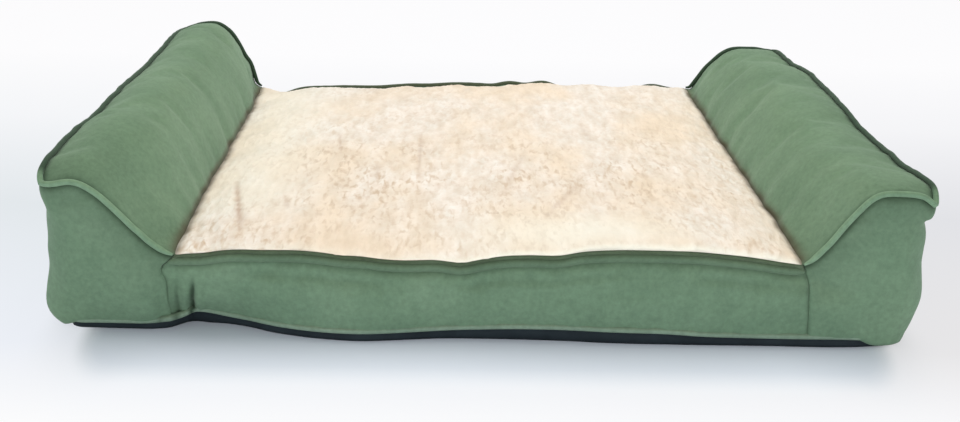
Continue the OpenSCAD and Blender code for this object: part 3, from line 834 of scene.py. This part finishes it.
def addBolster(name, v):
    side = v["side"]
    obj, u, along, up = evenBlock(name, bolsterValues["cells"])
    if side < 0:
        u = 1 - u
    rim = (up > 0.999) & ((u > 0.999) | atEnds(along))
    inner = u < 0.001
    bulge = wallBulge(up)
    y = mix(-rearSeam, rearSeam, along)
    farX = outerSeam + throughPoints(v["outward"], y) * up ** 2
    x = mix(seamX(side, y), farX, u)
    radius = mix(bolsterValues["topRadius"], v["footRadius"], (1 - up) ** 8)
    for end in (-1, 1):
        x, y = roundCorner(x, y, farX, end * rearSeam, radius)
    across = unit((x - seamX(side, y)) / (farX - seamX(side, y)))
    share = unit((y + rearSeam) / (2 * rearSeam))
    # at the front corners the cloth hangs down over the base
    corner = ease((x - v["cornerFoot"]) / (30 * mm)) * nearFront(y, 290 * mm, 60 * mm)
    z = mix(mix(baseSeam - 3 * mm, 1 * mm, corner), bolsterHeight(across, share, y, v), up)
    # the walls swell outwards, and fully only away from the inner side
    x = x + throughPoints(v["wall"], z) * unit((across - 0.6) / 0.4) ** 2 * (1 - up ** 24)
    y = y + bulge * 0.6 * np.sign(share - 0.5) * unit((np.abs(share - 0.5) - 0.46) / 0.04) ** 2
    # the front outer corner pokes out as an ear where the two welts turn
    toCorner = (x - farX) ** 2 + (y + rearSeam) ** 2
    ear = up ** 4 * np.exp(-toCorner / bolsterValues["topRadius"] ** 2)
    x = x + v["ear"][0] * ear
    y = y - v["ear"][1] * ear
    z = z - v["droop"][0] * up ** 4 * np.exp(-toCorner / v["droop"][1] ** 2)
    co = np.stack([x * side, y, z], 1)
    co[:, 2] += edgeWave(co[:, 0], y) * np.exp(-across / 0.12) * up
    writePoints(obj, shiftUprights(slump(co)))
    if side < 0:
        faceOutwards(obj)
    markGroup(obj, "welt", rim)
    markGroup(obj, "sewn", rim | (up < 0.001) | inner)
    plump(obj, bolsterValues["cloth"])
    subdivide(obj, 1)
    dressSeams(obj, side)
    return obj


def dressSeams(obj, side):
    # pulls the cloth in along the welt with small puckers, and paints shade along the seams
    v = bolsterValues
    co, normals = readPoints(obj), readNormals(obj)
    rim = inGroup(obj, "welt")
    path = co[rim]
    distance, which = nearest(path, co)
    pull = bell(distance, 5 * mm) * (~rim)
    pucker = noiseAt(path[which], 16 * mm, 1 + side) * np.exp(-(distance / (16 * mm)) ** 1.5)
    swell = noiseAt(co, 75 * mm, 5 + side) * v["lumps"] * unit(distance / (40 * mm))
    move = -v["grooveDepth"] * pull + v["puckerDepth"] * pucker + swell
    border = np.abs(co[:, 0]) - seamX(side, co[:, 1])
    move[border < 2 * mm] = 0
    co = co + normals * move[:, None]
    front = unit(-normals[:, 1])
    if side < 0:
        co[:, 1] -= pinchFolds(co[:, 0], co[:, 2]) * front
    writePoints(obj, co)
    # the welt's two seam lines as painted shade in the grooves beside it, more painted shade on the front faces
    # near it for how the light falls, and the painted shadow line where the bolster meets the fleece
    shade = 0.7 * bell(distance, 6 * mm) + 0.06 * bell(distance, 30 * mm)
    shade = shade + 0.2 * bell(distance, 45 * mm) * front
    above = co[:, 2] - topSeam - edgeWave(co[:, 0], co[:, 1]) - 6 * mm
    line = np.exp(-(np.maximum(above, 0) / (5 * mm)) ** 2 - (np.maximum(border, 0) / (9 * mm)) ** 2)
    line = line * (1 + 0.3 * noiseAt(co, 24 * mm, 8)) * ease((co[:, 1] - frontSeam - 2 * mm) / (14 * mm))
    line = line * ease((rearSeam - 3 * mm - co[:, 1]) / (8 * mm))
    writeAttribute(obj, "seamShade", shade)
    writeAttribute(obj, "fleeceShadowLine", line)


bolsterParts = ("_bolster_cover", "_side_panel", "_front_end_panel", "_rear_end_panel", "_bolster_filling",
                "_partition")
for sideName in ("left", "right"):
    bolster = addBolster(sideName + "_bolster", bolsterValues[sideName])
    welt = weltAlong(bolster, sideName + "_bolster_welt", suedeHighlitWelt, sideName + "_bolster_piping", bolsterValues)
    # painted shade: the cord darkened along the side and the rear, where it lies in shadow
    behind = ease((readPoints(welt)[:, 1] + 372 * mm) / (14 * mm))
    writeAttribute(welt, "seamShade", bolsterValues["sideWeltShade"] * behind)
    finishPiece(bolster, suede, [sideName + part for part in bolsterParts])
    print(sideName, "bolster made")


mattressValues = {
    "cells": (60, 62, 3),
    "crown": 4 * mm,
    "edgeTop": 114 * mm,
    "sideDrop": 5 * mm,
    "endDrop": 3.5 * mm,
    "lip": 4 * mm,
    "lipUnder": 107 * mm,
    "rearTuck": 14 * mm,        # how far the fleece's rear edge goes down behind the welt
    "pile": 1.6 * mm,
    "waves": 2.0 * mm,
    "partingDepth": 1.2 * mm,
    # where the pile is parted in a line: (start x, start y, end x, end y, depth, half width), in mm
    "partings": [(-333, -160, -297, -345, 0.9, 3.5), (-215, 50, -205, -46, 0.5, 3), (-94, 58, -91, -146, 0.55, 3),
        (-262, -215, -250, -275, 0.45, 3.5), (-150, -90, -146, -160, 0.35, 3), (60, -20, 20, -200, 0.35, 4),
        (120, -170, 70, -290, 0.35, 4), (150, 120, 160, 20, 0.3, 3)],
    # where the pile is lighter, as a painted highlight on the front edge, painted light by the left seam, and a
    # paler patch: strength, middle x and y, half widths
    "edgeHighlight": (0.3, 0.8, 9 * mm),     # along the front edge: left, right, width
    "bandLight": (0.4, -310 * mm, 65 * mm),
    "patchPale": (0.55, 110 * mm, -340 * mm, 130 * mm, 60 * mm),
    "cloth": {"pressure": 2.0, "slack": 0.01, "stiffness": 12, "bending": 1.0, "cap": 4 * mm, "frames": 16},
}


def addFleece(v):
    obj, u, along, up = evenBlock("fleece_top", v["cells"])
    front = frontSeam - v["lip"] * wave(unit(up * 0.6 + 0.2))
    rear = rearSeam - 3 * mm
    y = mix(front, rear, along)
    x = mix(-seamX(-1, y) - 1 * mm, seamX(1, y) + 1 * mm, u)
    toSide = np.minimum(u, 1 - u) * 2 * sideSeam
    toEnd = np.minimum(y - front, rear - y)
    roundOff = v["sideDrop"] * np.exp(-toSide / (9 * mm)) + v["endDrop"] * np.exp(-toEnd / (5 * mm))
    crown = v["crown"] * (1 - np.abs(2 * u - 1) ** 3) * (1 - np.abs(y / rearSeam) ** 4)
    under = v["lipUnder"] - v["rearTuck"] * ease((y - rear + 22 * mm) / (12 * mm))
    z = mix(under, v["edgeTop"] + crown - roundOff, up) + edgeWave(x, y)
    writePoints(obj, np.stack([x, y, z], 1))
    markGroup(obj, "sewn", (up < 0.4) | atEnds(u) | (along > 0.999))
    plump(obj, v["cloth"])
    subdivide(obj, 2)
    raisePile(obj, v)
    return obj


def partings(co, lines):
    # 1 along each place where the pile falls apart in a line, fading to 0 a few millimetres away
    out = co[:, 0] * 0
    for startX, startY, endX, endY, depth, half in lines:
        start, run = np.array([startX, startY]) * mm, np.array([endX - startX, endY - startY]) * mm
        t = unit((co[:, :2] - start) @ run / (run @ run))
        beside = np.linalg.norm(co[:, :2] - start - t[:, None] * run, axis=1)
        beside = beside + 2.5 * mm * noiseAt(co, 18 * mm, 17)
        out = np.maximum(out, depth * bell(beside, half * mm) * (0.35 + 0.65 * wave(t)))
    return out


def paleShare(x, y, v):
    # a painted highlight along the front edge, painted light along the left seam where the bolster's shade falls,
    # and a paler patch in front of the middle
    left, right, width = v["edgeHighlight"]
    edge = mix(left, right, ease((x + 90 * mm) / (70 * mm))) * bell(y - frontSeam + v["lip"], width)
    strength, middle, half = v["bandLight"]
    band = strength * bell(x - middle, half) * ease((y + 330 * mm) / (90 * mm))
    strength, middleX, middleY, halfX, halfY = v["patchPale"]
    patch = strength * np.exp(-((x - middleX) / halfX) ** 2 - ((y - middleY) / halfY) ** 2)
    return np.maximum.reduce([edge, band, patch])


def raisePile(obj, v):
    # short curly pile: lumps of two sizes along the normals, parted here and there
    co, normals = readPoints(obj), readNormals(obj)
    tufts = noiseAt(co, (8 * mm, 24 * mm, 8 * mm), 2, 3)
    curls = noiseAt(co, 4 * mm, 6, 2)
    waves = noiseAt(co, 90 * mm, 9, 2)
    height = 0.6 * tufts + 0.35 * curls
    gap = np.minimum(seamX(-1, co[:, 1]) + co[:, 0], seamX(1, co[:, 1]) - co[:, 0])
    side = unit(gap / (9 * mm))
    upward = unit(normals[:, 2] + 0.6)
    move = v["pile"] * height * side * upward + v["waves"] * waves * side * unit(normals[:, 2])
    move = move - v["partingDepth"] * partings(co, v["partings"]) * upward
    writePoints(obj, co + normals * move[:, None])
    line = (noiseAt(co, 20 * mm, 21) * 0.35 + 0.9) * bell(np.maximum(gap, 0), 5.5 * mm)
    # the pile's height, for painted shade in its hollows
    writeAttribute(obj, "pile", 0.55 + 0.7 * height)
    writeAttribute(obj, "seamShade", line)
    # painted shade where the pile is parted
    writeAttribute(obj, "parted", partings(co, v["partings"]))
    writeAttribute(obj, "frontShare", 0.4 + 0.6 * ease((200 * mm - co[:, 1]) / (300 * mm)))
    writeAttribute(obj, "paleAndHighlit", paleShare(co[:, 0], co[:, 1], v))


fleeceTop = addFleece(mattressValues)
finishPiece(fleeceTop, fleece, ("sleeping_surface", "fibre_topper", "support_foam"))
print("fleece made")


borderValues = {
    "cells": (220, 3, 14),
    "weltRow": 12,              # the row of cells whose top edge carries the welt
    "thickness": 11 * mm,
    "tuckX": -350 * mm,         # left of here the foot is tucked down behind the base's welt
    "folds": 1.3 * mm,
    "weltRadius": 5 * mm,
    "weltLift": 0.5 * mm,
    "weltTaper": 12 * mm,       # over which its ends thin out
    "weltBelow": 8 * mm,        # from the mattress's wavy top seam down to the welt
    # painted shade on the cord under the fleece's edge, with a little painted brown shadow
    "weltPaintedShade": {"seamShade": 0.25, "fleeceShadowLine": 0.08},
    "creaseBelow": 4.5 * mm,    # from the welt down to the stitched crease, which has painted shade in it
    "creaseDepth": 1.8 * mm,
    "secondBelow": 17 * mm,     # from that crease down to a second, broken one
    "secondDepth": 1.2 * mm,
    "cloth": {"pressure": 2.2, "slack": 0.03, "stiffness": 12, "bending": 0.5, "cap": 5 * mm, "frames": 18},
}


def addFrontBorder(v):
    obj, u, deep, up = evenBlock("front_border_panel", v["cells"])
    edge = seamX(-1, frontSeam), seamX(1, frontSeam)
    x = mix(-edge[0] - 1 * mm, edge[1] + 1 * mm, u)
    foot = mix(baseSeam - 3 * mm, 3 * mm, ease((v["tuckX"] - x) / (6 * mm)))
    top = outlineAt("frontWave", x)
    weltRow = v["weltRow"] / v["cells"][2]
    seamZ = topSeam + top - v["weltBelow"]
    z = np.where(up <= weltRow, mix(foot, seamZ, up / weltRow),
                 mix(seamZ, topSeam + top + 1 * mm, (up - weltRow) / (1 - weltRow)))
    y = frontSeam + 2 * mm - 0.6 * wallBulge(up) + v["thickness"] * deep
    writePoints(obj, shiftUprights(slump(np.stack([x, y, z], 1))))
    markGroup(obj, "welt", (np.abs(up - weltRow) < 0.01) & (deep < 0.001))
    markGroup(obj, "sewn", (deep > 0.3) | (up < 0.001) | (up > weltRow - 0.01) | atEnds(u))
    plump(obj, v["cloth"])
    subdivide(obj, 1)
    creaseBorder(obj, edge, v)
    return obj


def creaseBorder(obj, edge, v):
    # soft folds, the crease under the welt, and the gathered cloth at the left, with painted shade in the crease,
    # the folds and beside the upright seams
    co, normals = readPoints(obj), readNormals(obj)
    facing = unit(-normals[:, 1])
    fold = noiseAt(co, (70 * mm, 60 * mm, 22 * mm), 4, 3) * v["folds"]
    co = co + normals * (fold * facing)[:, None]
    co[:, 1] -= pinchFolds(co[:, 0], co[:, 2]) * facing
    below = topSeam + outlineAt("frontWave", co[:, 0]) - v["weltBelow"] - co[:, 2]
    crease = bell(below - v["creaseBelow"], 3.4 * mm)
    second = bell(below - v["creaseBelow"] - v["secondBelow"], 4 * mm)
    second = second * ease((noiseAt(co, 120 * mm, 31) + 0.25) / 0.4)
    co[:, 1] += (v["creaseDepth"] * crease + v["secondDepth"] * second) * facing
    writePoints(obj, co)
    # painted shade in and above the crease, in the broken second crease, beside the upright seams and in the
    # gathered folds, and painted brown shadow under the fleece's edge
    ends = np.minimum(edge[0] + outlineAt("leftUpright", co[:, 2]) + co[:, 0],
                      edge[1] + outlineAt("rightUpright", co[:, 2]) - co[:, 0])
    pinch = unit(-pinchFolds(co[:, 0], co[:, 2]) / (5 * mm))
    over = ease((-below - 1 * mm) / (4 * mm))
    rise = 0.25 * ease((v["creaseBelow"] - below) / (4 * mm)) * (1 - over)
    shade = np.maximum(0.4 * crease, rise) + 0.15 * second + 0.28 * bell(ends, 3.5 * mm) + 0.8 * pinch
    writeAttribute(obj, "fleeceShadowLine", 0.4 * over)
    writeAttribute(obj, "seamShade", shade)


frontBorder = addFrontBorder(borderValues)
weltAlong(frontBorder, "front_welt", suede, "front_piping", borderValues)
finishPiece(frontBorder, suede, ("front_border",))
print("front border made")


rearValues = {
    "cells": (150, 2, 12),
    "slotHalf": 275 * mm,
    "slotGap": 7.6 * mm,
    "slotFace": 376.6 * mm,     # the slot's edges in y
    "stitchFrom": 5.5 * mm,     # from a slot edge to its line of stitches
    "stitchPitch": 5 * mm,
    "stitchLength": 3.3 * mm,
    "stitchRadius": 0.5 * mm,
    "hem": 17 * mm,             # from the zip's middle to where the cloth is free to swell
    "folds": 1.4 * mm,
    "swell": {"upper": 4 * mm, "lower": 5.5 * mm},
    "seamBehind": {"upper": 1 * mm, "lower": 5 * mm},       # how far the strip's seam stands inside the plan
    "noiseSeed": {"upper": 12, "lower": 14},
    "weltRadius": 4 * mm,
    "weltLift": 2.0 * mm,
    "weltTaper": 12 * mm,
    # painted shade on the cord, which lies in shadow just above the fleece's rear edge
    "weltPaintedShade": {"seamShade": 0.85, "fleeceShadowLine": 0.4},
    "cloth": {"pressure": 1.6, "slack": 0.03, "stiffness": 12, "bending": 0.5, "cap": 3 * mm, "frames": 14},
}
zipLow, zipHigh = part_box("zip_slider")
zipZ = (zipLow.z + zipHigh.z) / 2


def addRearStrip(part, v):
    upper = part == "upper"
    obj, u, deep, up = evenBlock("rear_strip_" + part, v["cells"])
    edge = seamX(-1, rearSeam), seamX(1, rearSeam)
    x = mix(-edge[0] - 1 * mm, edge[1] + 1 * mm, u)
    # the slot's edges close on each other beyond its two ends
    half = v["slotGap"] * ease((v["slotHalf"] + 6 * mm - np.abs(x)) / (9 * mm)) + 0.3 * mm
    if upper:
        z = mix(zipZ + half, topSeam - 3 * mm + outlineAt("rearWelt", x), up)
    else:
        z = mix(baseSeam - 3 * mm, zipZ - half, up)
    away = up if upper else 1 - up
    face = mix(v["slotFace"], rearSeam - v["seamBehind"][part], away ** 2)
    face = face + v["swell"][part] * wave(unit((away - 0.25) / 0.75))
    thick = mix(2.0 * mm, 9 * mm, ease((away - 0.3) / 0.5))
    writePoints(obj, np.stack([x, face - thick * (1 - deep), z], 1))
    hem = np.abs(z - zipZ) < v["hem"]
    markGroup(obj, "sewn", (deep < 0.9) | atEnds(up) | atEnds(u) | hem)
    if upper:
        markGroup(obj, "welt", (up > 0.999) & (deep > 0.999))
    plump(obj, v["cloth"])
    subdivide(obj, 1)
    co, normals = readPoints(obj), readNormals(obj)
    gap = np.abs(co[:, 2] - zipZ)
    free = ease((gap - v["hem"]) / (12 * mm)) * unit(normals[:, 1])
    fold = noiseAt(co, (60 * mm, 60 * mm, 24 * mm), v["noiseSeed"][part], 3) * v["folds"]
    co[:, 1] += fold * free
    writePoints(obj, co)
    # painted shade beside the side seams and under the welt, and darker along the lines of stitches
    shade = 0.6 * bell(np.minimum(edge[0] + co[:, 0], edge[1] - co[:, 0]), 6 * mm)
    shade = shade + 0.35 * bell(gap - v["slotGap"] - v["stitchFrom"], 1.6 * mm)
    if upper:
        below = topSeam + outlineAt("rearWelt", co[:, 0]) - co[:, 2]
        shade = shade + 0.5 * np.exp(-np.maximum(below, 0) / (7 * mm))
    writeAttribute(obj, "seamShade", shade)
    return obj


def addStitches(name, z, v):
    # one stitch, and copies of it along the slot's edge
    count = int(2 * (v["slotHalf"] + 4 * mm) / v["stitchPitch"])
    start = -v["stitchPitch"] * (count - 1) / 2
    bpy.ops.mesh.primitive_cylinder_add(vertices=6, radius=v["stitchRadius"], depth=v["stitchLength"],
                                        rotation=(0, math.pi / 2, 0),
                                        location=(start, v["slotFace"] + 0.15 * mm, z))
    obj = bpy.context.object
    obj.name = obj.data.name = name
    applyModifier(obj, "BEVEL", width=0.3 * mm, segments=1, limit_method="ANGLE", angle_limit=math.radians(70))
    bpy.ops.object.transform_apply()
    applyModifier(obj, "ARRAY", count=count, use_relative_offset=False, use_constant_offset=True,
                  constant_offset_displace=(v["stitchPitch"], 0, 0))
    finishPiece(obj, thread)


for part, turn in (("upper", 1), ("lower", -1)):
    strip = addRearStrip(part, rearValues)
    if part == "upper":
        weltAlong(strip, "rear_welt", suede, "rear_piping", rearValues)
    finishPiece(strip, suede, ("rear_border_" + part,))
    fromZip = rearValues["slotGap"] + rearValues["stitchFrom"]
    addStitches("slot_stitches_" + part, zipZ + turn * fromZip, rearValues)
print("rear border made")


def softened(node, name, width, material, body):
    # a copy of a rigid part with its edges eased
    pick(bpy.data.objects[node])
    bpy.ops.object.duplicate()
    obj = bpy.context.object
    obj.name = obj.data.name = name
    for key in list(obj.keys()):
        if key.startswith("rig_"):
            del obj[key]
    bpy.ops.object.parent_clear(type="CLEAR_KEEP_TRANSFORM")
    bpy.ops.object.transform_apply()
    editAll(obj)
    bpy.ops.mesh.remove_doubles(threshold=1e-6)
    bpy.ops.mesh.dissolve_limited(angle_limit=math.radians(2))
    leaveEdit()
    applyModifier(obj, "BEVEL", width=width, segments=2, limit_method="ANGLE", angle_limit=math.radians(35))
    finishPiece(obj, material, (node,), body)
    pick(obj)
    bpy.ops.object.shade_smooth_by_angle(angle=math.radians(30))


zipDress = {"zip_upper_tape": zipTape, "zip_lower_tape": zipTape, "zip_upper_teeth": zipPlastic,
            "zip_lower_teeth": zipPlastic, "zip_top_stops": zipMetal, "zip_bottom_stop": zipMetal}
for nodeName, material in zipDress.items():
    mesh = bpy.data.objects[nodeName].data
    mesh.materials.clear()
    mesh.materials.append(material)
softened("zip_slider", "zip_slider_cast", 0.35 * mm, zipMetal, "zip_slider")
softened("zip_pull", "zip_pull_cast", 0.3 * mm, zipMetal, "zip_pull")
print("zip dressed")


baseValues = {
    "cells": (180, 60, 3),
    "cornerRadius": {-1: 20 * mm, 1: 32 * mm},      # at the left and the right
    "inset": 1.5 * mm,
    "weltHeight": 13 * mm,
    "weltRadius": 4 * mm,
    "weltLift": 0.6 * mm,
}


def addBase(v):
    obj, u, along, up = evenBlock("base_cloth", v["cells"])
    halfX, halfY = outerSeam - v["inset"], rearSeam - v["inset"]
    x, y = mix(-halfX, halfX, u), mix(-halfY, halfY, along)
    for sideX in (-1, 1):
        for sideY in (-1, 1):
            x, y = roundCorner(x, y, sideX * halfX, sideY * halfY, v["cornerRadius"][sideX])
    co = slump(np.stack([x, y, v["weltHeight"] * up], 1))
    co[:, 1] -= pinchFolds(co[:, 0], co[:, 2]) * up * (along < 0.02)
    writePoints(obj, co)
    markGroup(obj, "welt", (up > 0.999) & (atEnds(u) | atEnds(along)))
    return obj


base = addBase(baseValues)
baseWelt = weltAlong(base, "base_welt", suedeHighlitRim, "base_piping", baseValues)
# painted shade on the cord where the cloth is gathered at the left front
place = readPoints(baseWelt)
pinch = -pinchFolds(place[:, 0], place[:, 2]) / (5 * mm) * (place[:, 1] < 0)
writeAttribute(baseWelt, "seamShade", pinch)
finishPiece(base, baseCloth, ("base_panel",))
print("base made")
